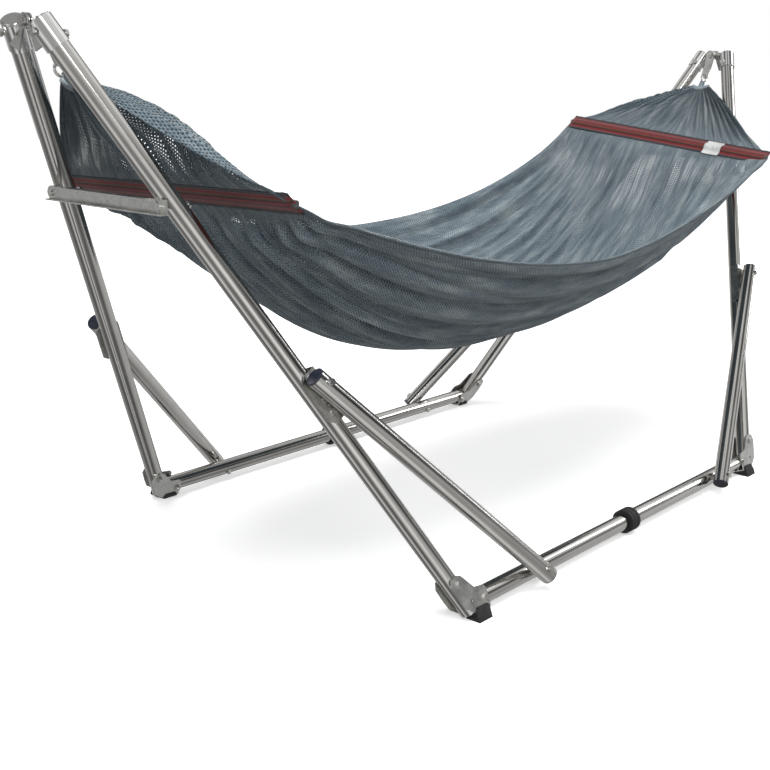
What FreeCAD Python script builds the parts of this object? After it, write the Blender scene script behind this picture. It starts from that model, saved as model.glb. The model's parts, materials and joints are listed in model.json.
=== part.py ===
import FreeCAD, Part
import math
import os

# A hammock on a folding tube stand.
#
# Two side frames lean together like a sawhorse.  Each is a rail, two legs that reach out past the
# rail's ends, and two struts.  They hinge on two bolts that lie on one line along X, under the tops
# of the legs, and a stay at each end keeps them open.  The hammock hangs from the same two bolts.
#
# A side frame is drawn upright in its own frame: the hinge line is the local X axis, the frame's
# plane is parallel to XZ, and outward is -Y.  Its placement then leans it over.

V = FreeCAD.Vector
Rot = FreeCAD.Rotation
Place = FreeCAD.Placement
X_AXIS = V(1, 0, 0)
Y_AXIS = V(0, 1, 0)
Z_AXIS = V(0, 0, 1)

doc = FreeCAD.newDocument("HammockOnStand")

# ---------------------------------------------------------------- driving dimensions, mm
DIMENSIONS = {
    "tube_radius": 19.0,
    "tube_wall": 1.5,
    "tube_clearance": 0.2,
    "sheet_thick": 2.5,
    "foot_half_length": 624.0,
    "foot_half_width": 483.0,
    "rail_height": 30.0,
    "hinge_half_length": 1229.0,
    "hinge_height": 1112.0,
    "frame_offset": 36.0,
    "strut_gap": 5.0,
    "strut_foot_x": 410.0,
    "bolt_radius": 4.0,
    "bolt_clearance": 0.1,
    "hinge_bolt_radius": 5.0,
    "collar_radius": 28.0,
    "collar_length": 34.0,
    "sleeve_length": 50.0,
    "knob_radius": 6.0,
    "ring_radius": 13.0,
    "ring_wire": 3.0,
    "band_width": 58.0,
    "band_thick": 18.0,
    "spreader_bar_radius": 7.0,
    "apex_half_width": 25.0,
    "band_half_length": 332.0,
    "fabric_thick": 8.0,
}

sheet = doc.addObject("Spreadsheet::Sheet", "Dims")
for row, (alias, value) in enumerate(DIMENSIONS.items(), start=1):
    sheet.set(f"A{row}", alias.replace("_", " "))
    sheet.set(f"B{row}", str(value))
    sheet.setAlias(f"B{row}", alias)
doc.recompute()


def dim(alias):
    """The value of a driving dimension, read back from the sheet."""
    return float(sheet.get(alias))


# ---------------------------------------------------------------- layout worked out from them
R_TUBE = dim("tube_radius")
R_BOLT = dim("bolt_radius")
R_HOLE = R_BOLT + dim("bolt_clearance")
PLATE = dim("sheet_thick")
GRIP = R_TUBE + dim("tube_clearance")          # half width inside a clip that holds a tube
CLIP_INSIDE = "2 * (Dims.tube_radius + Dims.tube_clearance)"
CLIP_OUTSIDE = "2 * (Dims.tube_radius + Dims.tube_clearance + Dims.sheet_thick)"
THROUGH = 40.0                                 # how far a drill reaches either side of a tube's axis
OFFSET = dim("frame_offset")
HINGE_X = dim("hinge_half_length")
HINGE_Z = dim("hinge_height")
RAIL_Z = dim("rail_height")
FOOT_X = dim("foot_half_length")
FOOT_Y = dim("foot_half_width")

drop = HINGE_Z - RAIL_Z
reach = math.hypot(FOOT_Y, drop)
LEAN = math.degrees(math.atan2(FOOT_Y, drop) - math.asin(OFFSET / reach))
RAIL_V = -math.sqrt(reach ** 2 - OFFSET ** 2)  # the rail's height in a side frame's own plane
Y_STRUT = -(OFFSET + 2 * R_TUBE + dim("strut_gap"))

SIDES = {"left": -1, "right": 1}
END_NAME = {-1: "left", 1: "right"}


def foot_point(s):
    return V(s * FOOT_X, -OFFSET, RAIL_V)


def top_point(s):
    return V(s * HINGE_X, -OFFSET, 0)


def leg_direction(s):
    return (top_point(s) - foot_point(s)).normalize()


def on_leg(s, share):
    return foot_point(s) + (top_point(s) - foot_point(s)) * share


FRONT = Place(V(0, 0, HINGE_Z), Rot(X_AXIS, -LEAN))
REAR = Place(V(0, 0, 0), Rot(Z_AXIS, 180)).multiply(FRONT)
WORLD = Place()
FRAMES = {"front": FRONT, "rear": REAR}


def end_of(frame_name, s):
    """The name of a frame's end: the rear frame is the front one turned half round."""
    return END_NAME[s if frame_name == "front" else -s]


# ---------------------------------------------------------------- small building blocks
count = 0


def fresh(name):
    global count
    count += 1
    return f"{name}_{count}"


def along(start, direction):
    """A placement that turns local Z to the direction and starts at the point."""
    return Place(start, Rot(Z_AXIS, direction))


def rod(name, start, direction, radius, length):
    """A solid cylinder; radius and length are expressions on the sheet or numbers."""
    piece = doc.addObject("Part::Cylinder", fresh(name))
    for prop, size in (("Radius", radius), ("Height", length)):
        if isinstance(size, str):
            piece.setExpression(prop, size)
        else:
            setattr(piece, prop, size)
    piece.Placement = along(start, direction)
    return piece


def block(name, low, high):
    piece = doc.addObject("Part::Box", fresh(name))
    size = high - low
    piece.Length, piece.Width, piece.Height = size.x, size.y, size.z
    piece.Placement = Place(low, Rot())
    return piece


def hexagon(name, start, direction, across, height):
    piece = doc.addObject("Part::Prism", fresh(name))
    piece.Polygon = 6
    piece.Circumradius = across / math.sqrt(3)
    piece.Height = height
    piece.Placement = along(start, direction)
    return piece


def fuse(name, pieces):
    joined = doc.addObject("Part::MultiFuse", fresh(name))
    joined.Shapes = pieces
    return joined


def cut(name, base, tools):
    result = doc.addObject("Part::Cut", fresh(name))
    result.Base = base
    result.Tool = tools[0] if len(tools) == 1 else fuse(name + "_tools", tools)
    return result


def group(name, pieces):
    """Separate solids that share one node."""
    result = doc.addObject("Part::Compound", fresh(name))
    result.Links = pieces
    return result


def tube(name, start, end, holes=()):
    """A round tube between two points, with cross holes given as (point, direction)."""
    direction = (end - start).normalize()
    length = start.distanceToPoint(end)
    outer = rod(name, start, direction, "Dims.tube_radius", length)
    bore = rod(name, start - direction, direction, "Dims.tube_radius - Dims.tube_wall", length + 2)
    drills = [
        rod(name, point - way * (2 * R_TUBE), way, "Dims.bolt_radius + Dims.bolt_clearance", 4 * R_TUBE)
        for point, way in holes
    ]
    return cut(name, outer, [bore] + drills)


def profile(name, outline, width, middle_y=0.0, hollow=None, hollow_width=None):
    """A body padded both ways from the XZ plane, with an inner outline pocketed out of it."""
    body = doc.addObject("PartDesign::Body", fresh(name))
    plane = [f for f in body.Origin.OriginFeatures if f.Role == "XZ_Plane"][0]

    def drawn(points):
        sketch = body.newObject("Sketcher::SketchObject", fresh(name + "_sketch"))
        sketch.AttachmentSupport = [(plane, "")]
        sketch.MapMode = "FlatFace"
        for i, (x, z) in enumerate(points):
            nx, nz = points[(i + 1) % len(points)]
            sketch.addGeometry(Part.LineSegment(V(x, z, 0), V(nx, nz, 0)), False)
        return sketch

    pad = body.newObject("PartDesign::Pad", fresh(name + "_pad"))
    pad.Profile = drawn(outline)
    pad.setExpression("Length", width)
    pad.SideType = "Symmetric"
    if hollow:
        pocket = body.newObject("PartDesign::Pocket", fresh(name + "_pocket"))
        pocket.Profile = drawn(hollow)
        pocket.setExpression("Length", hollow_width)
        pocket.SideType = "Symmetric"
    body.Placement = Place(V(0, middle_y, 0), Rot())
    return body


HEX_ACROSS = 13.0               # across the flats of every small bolt head and nut
HEAD_TALL = 4.8
NUT_TALL = 5.5
THREAD_PAST_NUT = 2.0
SLACK = 0.2                     # left between a head or nut and the sheet it clamps


def bolt(name, start, direction, grip, collars=()):
    """A hex bolt and nut as one solid: head before the start, nut after the grip."""
    below = HEAD_TALL + SLACK
    parts = [
        rod(name, start - direction, direction, R_BOLT, 1 + grip + NUT_TALL + THREAD_PAST_NUT),
        hexagon(name, start - direction * below, direction, HEX_ACROSS, HEAD_TALL),
        hexagon(name, start + direction * (grip + SLACK), direction, HEX_ACROSS, NUT_TALL),
    ]
    for begin, length in collars:
        parts.append(rod(name, start + direction * begin, direction, R_BOLT * 2, length))
    return fuse(name, parts)


nodes = []


def node(label, piece, frame=WORLD):
    """Puts a finished piece in its place, and keeps it for export under its label."""
    piece.Label = label
    piece.Placement = frame.multiply(piece.Placement)
    nodes.append(piece)


# ---------------------------------------------------------------- the side frames
LEG_BELOW_FOOT = 16.0
LEG_SHORT_OF_TOP = 15.0        # from the leg tube's end up to the hinge line's height
RAIL_END = 28.0                 # from the foot point to the rail's end
FOOT_BOLT_UP_LEG = 51.0
FOOT_BOLT_ALONG_RAIL = 42.0
SPARE_HOLE = (0.0, 4.0)          # in the foot bracket: towards the middle and up from the foot point
STRUT_LOCK_SHARE = 0.412        # of the leg, from the foot
STRUT_BELOW_FOOT = 22.0
STRUT_ABOVE_LOCK = 22.0
CLIP_BOLT_STEP = 30.0
CLIP_SPARE_STEPS = (15.0, 45.0) # small holes between the pin and the rivets, down the leg
STAY_SHARE = 0.716              # of the leg, from the foot
HUB_BOLT_DOWN = 40.0
CAP_THICK = 3.0
CAP_SPIGOT = 9.5


def strut_foot(s):
    return V(s * dim("strut_foot_x"), Y_STRUT, RAIL_V)


def strut_lock(s):
    point = on_leg(s, STRUT_LOCK_SHARE)
    return V(point.x, Y_STRUT, point.z)


def clip_bolt_points(s):
    middle = on_leg(s, STRUT_LOCK_SHARE) - leg_direction(s) * CLIP_BOLT_STEP
    return [middle, middle - leg_direction(s) * CLIP_BOLT_STEP]


def rail_half(s):
    gap = 0.25
    outer = V(s * (FOOT_X - RAIL_END), -OFFSET, RAIL_V)
    inner = V(s * gap, -OFFSET, RAIL_V)
    holes = [
        (V(s * (FOOT_X - FOOT_BOLT_ALONG_RAIL), -OFFSET, RAIL_V), Y_AXIS),
        (V(s * dim("strut_foot_x"), -OFFSET, RAIL_V), Y_AXIS),
    ]
    return tube("rail", inner, outer, holes)


def rail_joiner():
    """The spigot inside the rail's middle, which lets the rail come apart."""
    half = 90.0
    start = V(-half, -OFFSET, RAIL_V)
    clear = "Dims.tube_radius - Dims.tube_wall - Dims.tube_clearance"
    outer = rod("joiner", start, X_AXIS, clear, 2 * half)
    bore = rod("joiner", start - X_AXIS, X_AXIS, clear + " - Dims.tube_wall", 2 * half + 2)
    return cut("joiner", outer, [bore])


def rail_collar():
    """The moulded ring over the joint, with two shallow grooves."""
    length = dim("collar_length")
    start = V(-length / 2, -OFFSET, RAIL_V)
    outer = rod("collar", start, X_AXIS, "Dims.collar_radius", "Dims.collar_length")
    tools = [rod("collar", start - X_AXIS, X_AXIS, "Dims.tube_radius + Dims.tube_clearance", length + 2)]
    for share in (0.3, 0.7):
        groove = doc.addObject("Part::Torus", fresh("collar_groove"))
        groove.Radius1 = dim("collar_radius")
        groove.Radius2 = 1.5
        groove.Placement = along(start + X_AXIS * (length * share), X_AXIS)
        tools.append(groove)
    return cut("collar", outer, tools)


def leg(s):
    way = leg_direction(s)
    holes = [(foot_point(s) + way * FOOT_BOLT_UP_LEG, Y_AXIS)]
    holes += [(point - Y_AXIS * (2 * R_TUBE), Y_AXIS) for point in clip_bolt_points(s)]
    holes += [(on_leg(s, STAY_SHARE), X_AXIS), (hub_bolt_point(s), X_AXIS)]
    return tube("leg", foot_point(s) - way * LEG_BELOW_FOOT, top_point(s) - way * LEG_SHORT_OF_TOP, holes)


def hub_bolt_point(s):
    return top_point(s) - leg_direction(s) * HUB_BOLT_DOWN


def end_cap(mouth, outward, name="cap"):
    """A disc that covers a tube's end, with a spigot inside it."""
    disc = rod(name, mouth + outward * 0.1, outward, "Dims.tube_radius", CAP_THICK)
    inset = "Dims.tube_radius - Dims.tube_wall - Dims.tube_clearance"
    spigot = rod(name, mouth - outward * CAP_SPIGOT, outward, inset, CAP_SPIGOT + 1)
    rounded = doc.addObject("Part::Chamfer", fresh(name))
    joined = fuse(name, [disc, spigot])
    doc.recompute()
    rim = mouth + outward * (0.1 + CAP_THICK)
    edges = [
        i + 1 for i, edge in enumerate(joined.Shape.Edges)
        if edge.Closed and edge.CenterOfMass.distanceToPoint(rim) < 0.01
    ]
    rounded.Base = joined
    rounded.Edges = [(i, 1.2, 1.2) for i in edges]
    return rounded


def leg_caps(s):
    way = leg_direction(s)
    return [
        end_cap(foot_point(s) - way * LEG_BELOW_FOOT, way * -1, "leg_cap"),
        end_cap(top_point(s) - way * LEG_SHORT_OF_TOP, way, "leg_cap"),
    ]


def strut_line(s):
    way = (strut_lock(s) - strut_foot(s)).normalize()
    return strut_foot(s) - way * STRUT_BELOW_FOOT, strut_lock(s) + way * STRUT_ABOVE_LOCK, way


def strut(s):
    start, end, _ = strut_line(s)
    return tube("strut", start, end, [(strut_foot(s), Y_AXIS), (strut_lock(s), Y_AXIS)])


def strut_caps(s):
    start, end, way = strut_line(s)
    return [end_cap(start, way * -1, "strut_cap"), end_cap(end, way, "strut_cap")]


def mirrored(points, s):
    """Points given for the left end, as distances towards the middle, set at either end."""
    return [(s * (FOOT_X - u), RAIL_V + v) for u, v in points]


def foot_bracket(s):
    """A channel of sheet metal over the leg's foot and the rail's end."""
    web = -R_TUBE - dim("tube_clearance")
    outline = [
        (-46, 44), (-42, 58), (-26, 64), (-12, 60), (18, 28), (46, 24), (52, 16),
        (52, web - PLATE), (6, web - PLATE), (-22, -4), (-34, 18),
    ]
    inside = [(-90, 90), (100, 90), (100, web), (7, web), (7, -40), (-90, -40)]
    body = profile(
        "foot_bracket", mirrored(outline, s), CLIP_OUTSIDE, -OFFSET, mirrored(inside, s), CLIP_INSIDE,
    )
    drills = [
        rod("foot_hole", point - Y_AXIS * THROUGH, Y_AXIS, R_HOLE, 2 * THROUGH)
        for point in foot_bolt_points(s)
    ]
    spare = V(s * (FOOT_X - SPARE_HOLE[0]), -OFFSET - THROUGH, RAIL_V + SPARE_HOLE[1])
    drills.append(rod("spare_hole", spare, Y_AXIS, R_BOLT * 0.8, THROUGH - GRIP + 1))
    return cut("foot_bracket", body, drills)


def foot_bolt_points(s):
    return [
        foot_point(s) + leg_direction(s) * FOOT_BOLT_UP_LEG,
        V(s * (FOOT_X - FOOT_BOLT_ALONG_RAIL), -OFFSET, RAIL_V),
    ]


def foot_bolts(s):
    half = GRIP + PLATE + SLACK
    return [
        bolt("foot_bolt", V(p.x, -OFFSET - half, p.z), Y_AXIS, 2 * half)
        for p in foot_bolt_points(s)
    ]


def foot_pad(s, frame):
    """A rubber boot under the bracket, cut flat where it stands on the floor."""
    web = -R_TUBE - dim("tube_clearance") - PLATE - SLACK
    outline = [(8, -16), (12, -12), (40, -12), (45, -17), (45, -70), (4, -70), (2, -30)]
    inside = [(5, web), (90, web), (90, 10), (-40, 10), (-40, -29), (5, -29)]
    wedge = profile(
        "foot_pad", mirrored(outline, s), CLIP_OUTSIDE + " + 6", -OFFSET,
        mirrored(inside, s), CLIP_OUTSIDE + " + 0.4",
    )
    wedge.Placement = frame.multiply(wedge.Placement)
    room = 1000.0
    above = block("floor_side", V(-2 * room, -room, 0), V(2 * room, room, room))
    pad = doc.addObject("Part::Common", fresh("foot_pad"))
    pad.Base = wedge
    pad.Tool = above
    return pad


def strut_clip(s):
    """A sheet riveted on the leg's outer side, folded over one edge; it takes the strut's lock pin."""
    way = leg_direction(s)
    across = V(way.z, 0, -way.x)
    if across.x * s > 0:
        across = across * -1
    lock = on_leg(s, STRUT_LOCK_SHARE)

    def corner(up, side):
        point = lock + way * up + across * side
        return (point.x, point.z)

    outline = [
        corner(30, -8), corner(18, -24), corner(-62, -24), corner(-80, -8), corner(-80, 24), corner(30, 24),
    ]
    inside = [corner(60, -40), corner(-100, -40), corner(-100, 21.5), corner(60, 21.5)]
    body = profile("strut_clip", outline, CLIP_OUTSIDE, -OFFSET, inside, CLIP_INSIDE)
    drills = [
        rod("clip_hole", p - Y_AXIS * THROUGH, Y_AXIS, R_HOLE, 2 * THROUGH) for p in clip_bolt_points(s)
    ]
    drills.append(rod("lock_hole", lock - Y_AXIS * THROUGH, Y_AXIS, R_HOLE, THROUGH - 1))
    for step in CLIP_SPARE_STEPS:
        spare = lock - way * step
        drills.append(rod("spare_hole", spare - Y_AXIS * THROUGH, Y_AXIS, R_BOLT * 0.7, THROUGH - GRIP + 1))
    far = 2 * THROUGH
    drills.append(block("inner_half", lock - V(far, 0, far), lock + V(far, THROUGH, far)))
    return cut("strut_clip", body, drills)


def clip_rivets(s):
    """Blind rivets with flat heads, because the strut passes close over them."""
    face = GRIP + PLATE + SLACK / 2
    flat_head, blind_end = 1.6, 4.0
    wall = R_TUBE - dim("tube_wall") - SLACK - 1.0
    rivets = []
    for point in clip_bolt_points(s):
        start = V(point.x, -OFFSET - face, point.z)
        shank = rod("clip_rivet", start, Y_AXIS, R_BOLT, face - wall + blind_end / 2)
        disc = rod("clip_rivet", start - Y_AXIS * flat_head, Y_AXIS, R_BOLT * 1.8, flat_head)
        bulb = rod("clip_rivet", start + Y_AXIS * (face - wall), Y_AXIS, R_BOLT * 1.35, blind_end)
        rivets.append(fuse("clip_rivet", [shank, disc, bulb]))
    return rivets


def strut_pivot(s):
    """The bolt through the strut's foot and the rail, with a spacer between the two tubes."""
    start = V(s * dim("strut_foot_x"), Y_STRUT - R_TUBE - SLACK, RAIL_V)
    grip = -Y_STRUT - OFFSET + 2 * (R_TUBE + SLACK)
    spacer = 2 * (R_TUBE + SLACK)
    return bolt("strut_pivot", start, Y_AXIS, grip, collars=[(spacer, dim("strut_gap") - 2 * SLACK)])


def lock_pin(s):
    """A small-headed pull pin that locks the strut's head to the clip on the leg."""
    lock = strut_lock(s)
    face = Y_STRUT - R_TUBE - 2 * SLACK
    tip = -OFFSET - R_TUBE - 4 * SLACK
    washer_tall, knob_tall = 1.5, 6.0
    shank = rod("lock_pin", V(lock.x, face - 1, lock.z), Y_AXIS, R_BOLT, tip - face + 1)
    washer = rod("lock_pin", V(lock.x, face - washer_tall, lock.z), Y_AXIS, R_BOLT * 1.8, washer_tall)
    knob_start = V(lock.x, face - washer_tall - knob_tall, lock.z)
    knob = rod("lock_pin", knob_start, Y_AXIS, "Dims.knob_radius", knob_tall + SLACK)
    return fuse("lock_pin", [shank, washer, knob])


EAR_THICK = 4.0
EAR_RADIUS = 13.0
EAR_DOWN = 52.0                 # how far the ear's plate reaches down beside the sleeve
EAR_INSET = {"front": 12.0, "rear": 6.5}      # the ear's inner face, in from the hinge point
HANGER_INSET = 39.0
HINGE_HEX = 16.0                # across the flats of the hinge bolt's head and nut
HINGE_HEX_TALL = 6.0
R_HINGE = dim("hinge_bolt_radius")


def hub_bracket(s, frame_name):
    """A sleeve round the leg's top with an ear that carries the hinge bolt."""
    way = leg_direction(s)
    length = dim("sleeve_length")
    start = top_point(s) - way * (LEG_SHORT_OF_TOP + length)
    sleeve = rod("hub_sleeve", start, way, GRIP + PLATE, "Dims.sleeve_length")
    x0 = s * (HINGE_X - EAR_INSET[frame_name])
    eye = rod("hub_eye", V(x0, 0, 0), X_AXIS * s, EAR_RADIUS, EAR_THICK)
    x_low, x_high = sorted((x0, x0 + s * EAR_THICK))
    arm = block("hub_arm", V(x_low, -OFFSET, -EAR_DOWN), V(x_high, 0, 0))
    tools = [
        rod("hub_bore", start - way * 60, way, "Dims.tube_radius + Dims.tube_clearance", length + 90),
        rod("hub_hole", V(x0 - s * 5, 0, 0), X_AXIS * s, R_HINGE + 0.1, 20),
        rod("hub_hole", hub_bolt_point(s) - X_AXIS * 60, X_AXIS, R_HOLE, 120),
    ]
    return cut("hub_bracket", fuse("hub_bracket", [sleeve, eye, arm]), tools)


def hub_bolt(s):
    """The bolt that holds the sleeve on the leg."""
    half = (GRIP + PLATE) / leg_direction(s).z + 4.0
    start = hub_bolt_point(s) + X_AXIS * (s * half)
    return bolt("hub_bolt", start, X_AXIS * -s, 2 * half)


def hinge_bolt(s):
    """The bolt on the hinge line, with a spacer between the front ear and the hanger."""
    way = X_AXIS * -s
    gap = 3 * SLACK
    start_inset = EAR_INSET["rear"] - EAR_THICK - gap
    start = V(s * (HINGE_X - start_inset), 0, 0)
    grip = HANGER_INSET + EAR_THICK + gap - start_inset
    begin = EAR_INSET["front"] + gap - start_inset
    spacer_long = HANGER_INSET - EAR_INSET["front"] - 2 * gap
    shank = rod("hinge_bolt", start - way, way, R_HINGE, 1 + grip + HINGE_HEX_TALL + THREAD_PAST_NUT)
    head = hexagon("hinge_bolt", start - way * (HINGE_HEX_TALL + SLACK), way, HINGE_HEX, HINGE_HEX_TALL)
    nut = hexagon("hinge_bolt", start + way * (grip + SLACK), way, HINGE_HEX, HINGE_HEX_TALL)
    spacer = rod("hinge_bolt", start + way * begin, way, HINGE_HEX / 2, spacer_long)
    return fuse("hinge_bolt", [shank, head, nut, spacer])


# ---------------------------------------------------------------- the stays that keep the frames open
STAY_HALF_TALL = 13.0
STAY_DEPTH = 16.0
STAY_FACE = 1087.5              # the web's inner face, out from the middle
STAY_SHEET = 2.5
STAY_TIP = 20.0
STAY_OPEN_END = 46.0            # at the hooking end the top flange stops short
HOOK_ANGLE = 65.8               # the hook slot's slope: the way the stud leaves as the stay drops
STUD_INSIDE = 12.0              # how far the stud's nut end stands out on the leg's inner side
STUD_HEAD = 4.0


def stay_pin(frame_name, s):
    """Where the stay's axis crosses a leg, in the object's frame."""
    local = on_leg(s, STAY_SHARE)
    return FRAMES[frame_name].multVec(local)


def stay(end):
    """A channel that pivots on the rear leg and hooks over a stud on the front leg."""
    s = SIDES[end]
    rear = stay_pin("rear", -s)
    front = stay_pin("front", s)
    web_in, web_out = s * STAY_FACE, s * (STAY_FACE + STAY_SHEET)
    rim = s * (STAY_FACE + STAY_DEPTH)

    def box(x_a, x_b, y_a, y_b, z_a, z_b):
        x_low, x_high = sorted((x_a, x_b))
        return block("stay", V(x_low, y_a, rear.z + z_a), V(x_high, y_b, rear.z + z_b))

    tall = STAY_HALF_TALL
    tip = front.y - STAY_TIP
    web = box(web_in, web_out, tip, rear.y, -tall, tall)
    eye = rod("stay_eye", V(web_in, rear.y, rear.z), X_AXIS * s, tall, STAY_SHEET)
    low = box(web_in, rim, tip, rear.y, -tall, -tall + STAY_SHEET)
    high = box(web_in, rim, tip + STAY_OPEN_END, rear.y - tall, tall - STAY_SHEET, tall)
    slot_way = V(0, math.cos(math.radians(HOOK_ANGLE)), math.sin(math.radians(HOOK_ANGLE)))
    slot = doc.addObject("Part::Box", fresh("stay_slot"))
    half = R_BOLT + 0.6
    slot.Length, slot.Width, slot.Height = 30, 2 * half, 30
    turn = Rot(Z_AXIS, slot_way)
    slot.Placement = Place(V(s * STAY_FACE - 15, front.y, rear.z) + turn.multVec(V(0, -half, 0)), turn)
    tools = [
        slot,
        rod("stay_hole", V(s * STAY_FACE - 15, front.y, rear.z), X_AXIS, half, 30),
        rod("stay_hole", V(s * STAY_FACE - 15, rear.y, rear.z), X_AXIS, R_HOLE, 30),
    ]
    return cut("stay", fuse("stay", [web, eye, low, high]), tools)


def stay_stud(s):
    """A stud through a leg, which the stay pivots on or hooks over."""
    pin = on_leg(s, STAY_SHARE)
    way = X_AXIS * s
    inner = abs(pin.x) - R_TUBE / leg_direction(s).z - STUD_INSIDE
    base = V(0, pin.y, pin.z)
    past = STAY_FACE + STAY_SHEET + SLACK
    shank = rod("stay_stud", base + way * inner, way, R_BOLT, past + STUD_HEAD - inner)
    head = rod("stay_stud", base + way * past, way, R_BOLT * 1.6, STUD_HEAD)
    nut = hexagon("stay_stud", base + way * (inner + 1), way, HEX_ACROSS, NUT_TALL)
    return fuse("stay_stud", [shank, head, nut])


# ---------------------------------------------------------------- hanging hardware and the hammock
RING_X, RING_DROP = 1160.0, 74.0
TONGUE_WIDE = 24.0
BED_HALF = 904.0
BED_END_Z = 815.0
EDGE_LOW_Z = 628.0
BED_LOW_Z = 393.0
BED_END_HALF_WIDTH = 330.0
BED_EXTRA_WIDTH = 55.0
BED_SAG_POWER = 2.7             # how late the bed's middle line rises towards a band
BAND_X, BAND_Z = 934.0, 834.0
APEX_X, APEX_Z = 1144.0, 1018.0
BAND_LIFT = {1: 28.0, -1: -17.0}  # the hammock hangs a little twisted: each band's height and
BAND_ROLL = {1: 6.7, -1: -1.0}    # its slope across, in degrees, up towards the rear
TWIST_POWER = 5                   # how late along the bed the twist comes in
FRONT_EDGE_POWER = 1.5            # the front edge rises sooner on the right than the other edges do


def hanger(s):
    """A plate on the hinge bolt with a tongue bent inwards to hold the ring."""
    x0 = s * (HINGE_X - HANGER_INSET)
    plate_drop = 20.0
    past_ring = 9.0
    eye = rod("hanger", V(x0, 0, HINGE_Z), X_AXIS * -s, EAR_RADIUS, EAR_THICK)
    x_low, x_high = sorted((x0, x0 - s * EAR_THICK))
    side = TONGUE_WIDE / 2
    plate = block("hanger", V(x_low, -side, HINGE_Z - plate_drop), V(x_high, side, HINGE_Z))
    bend = V(x0 - s * EAR_THICK / 2, 0, HINGE_Z - plate_drop + EAR_THICK / 2)
    ring_middle = V(s * RING_X, 0, HINGE_Z - RING_DROP)
    way = (ring_middle - bend).normalize()
    length = bend.distanceToPoint(ring_middle) - dim("ring_radius") + past_ring
    tongue = doc.addObject("Part::Box", fresh("hanger"))
    tongue.Length, tongue.Width, tongue.Height = EAR_THICK, TONGUE_WIDE, length
    turn = Rot(Z_AXIS, way)
    tongue.Placement = Place(bend + turn.multVec(V(-EAR_THICK / 2, -TONGUE_WIDE / 2, 0)), turn)
    through = turn.multVec(X_AXIS)
    eyelet = ring_middle - way * dim("ring_radius")
    tools = [
        rod("hanger_hole", V(x0 + s * 10, 0, HINGE_Z), X_AXIS * -s, R_HINGE + 0.1, 30),
        rod("hanger_hole", eyelet - through * 15, through, dim("ring_wire") + 1.6, 30),
    ]
    return cut("hanger", fuse("hanger", [eye, plate, tongue]), tools)


def ring(s):
    piece = doc.addObject("Part::Torus", fresh("ring"))
    piece.setExpression("Radius1", "Dims.ring_radius")
    piece.setExpression("Radius2", "Dims.ring_wire")
    piece.Placement = along(V(s * RING_X, 0, HINGE_Z - RING_DROP), Y_AXIS)
    return piece


def slope_frame(s):
    """Down-slope, across and outward directions of an end panel."""
    down = (band_middle(s) - V(s * APEX_X, 0, APEX_Z)).normalize()
    roll = math.radians(BAND_ROLL[s])
    return down, V(0, math.cos(roll), math.sin(roll)), V(-down.z * s, 0, down.x * s)


def rectangle(centre, across, half_wide, half_thick, s):
    _, _, outward = slope_frame(s)
    corners = [
        centre + across * (a * half_wide) + outward * (b * half_thick)
        for a, b in ((-1, -1), (1, -1), (1, 1), (-1, 1))
    ]
    return Part.makePolygon(corners + corners[:1])


def shaped(name, shape):
    piece = doc.addObject("Part::Feature", fresh(name))
    piece.Shape = shape
    return piece


def band_middle(s):
    return V(s * BAND_X, 0, BAND_Z + BAND_LIFT[s])


def band(s):
    """A webbing sleeve across the hammock, hollow for the spreader bar."""
    down, across, _ = slope_frame(s)
    half = dim("band_half_length")
    sleeve = doc.addObject("Part::Box", fresh("band"))
    sleeve.setExpression("Length", "2 * Dims.band_half_length")
    sleeve.setExpression("Width", "Dims.band_width")
    sleeve.setExpression("Height", "Dims.band_thick")
    turn = Rot(across, down, across.cross(down), "XYZ")
    low = V(-half, -dim("band_width") / 2, -dim("band_thick") / 2)
    sleeve.Placement = Place(band_middle(s) + turn.multVec(low), turn)
    bore_start = band_middle(s) - across * (half + 1)
    bore = rod("band_bore", bore_start, across, "Dims.spreader_bar_radius + 0.3", 2 * half + 2)
    return cut("band", sleeve, [bore])


def spreader_bar(s):
    _, across, _ = slope_frame(s)
    start = band_middle(s) - across * dim("band_half_length")
    return rod("spreader_bar", start, across, "Dims.spreader_bar_radius", "2 * Dims.band_half_length")


def end_panel(s):
    """The gathered triangle of fabric between a band and its ring."""
    down, across, _ = slope_frame(s)
    start = band_middle(s) - down * (dim("band_width") / 2 + 0.6)
    apex = V(s * APEX_X, 0, APEX_Z)
    wide = rectangle(start, across, dim("band_half_length") - 3, dim("fabric_thick") / 2, s)
    narrow = rectangle(apex, Y_AXIS, dim("apex_half_width"), dim("fabric_thick") * 0.8, s)
    return shaped("end_panel", Part.makeLoft([wide, narrow], True, True))


def gather(s):
    """The bound top of the gathers: a tab the width of the panel, with a loop through the ring."""
    apex = V(s * APEX_X, 0, APEX_Z)
    middle = V(s * RING_X, 0, HINGE_Z - RING_DROP)
    way = (apex - middle).normalize()
    link = middle + way * dim("ring_radius")
    loop_radius, loop_wire, tab_thick = 6.5, 2.5, 6.0
    wire = Y_AXIS.cross(way)
    loop = Part.makeTorus(loop_radius, loop_wire, link, wire)
    start = link + way * (loop_radius - 1)
    tab_long = start.distanceToPoint(apex) - 2.6
    wide = dim("apex_half_width")
    corner = start - Y_AXIS * wide - wire * (tab_thick / 2)
    tab = Part.makeBox(tab_thick, 2 * wide, tab_long)
    tab.Placement = Place(corner, Rot(wire, Y_AXIS, way, "ZYX"))
    return shaped("gather", loop.fuse(tab).removeSplitter())


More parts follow.
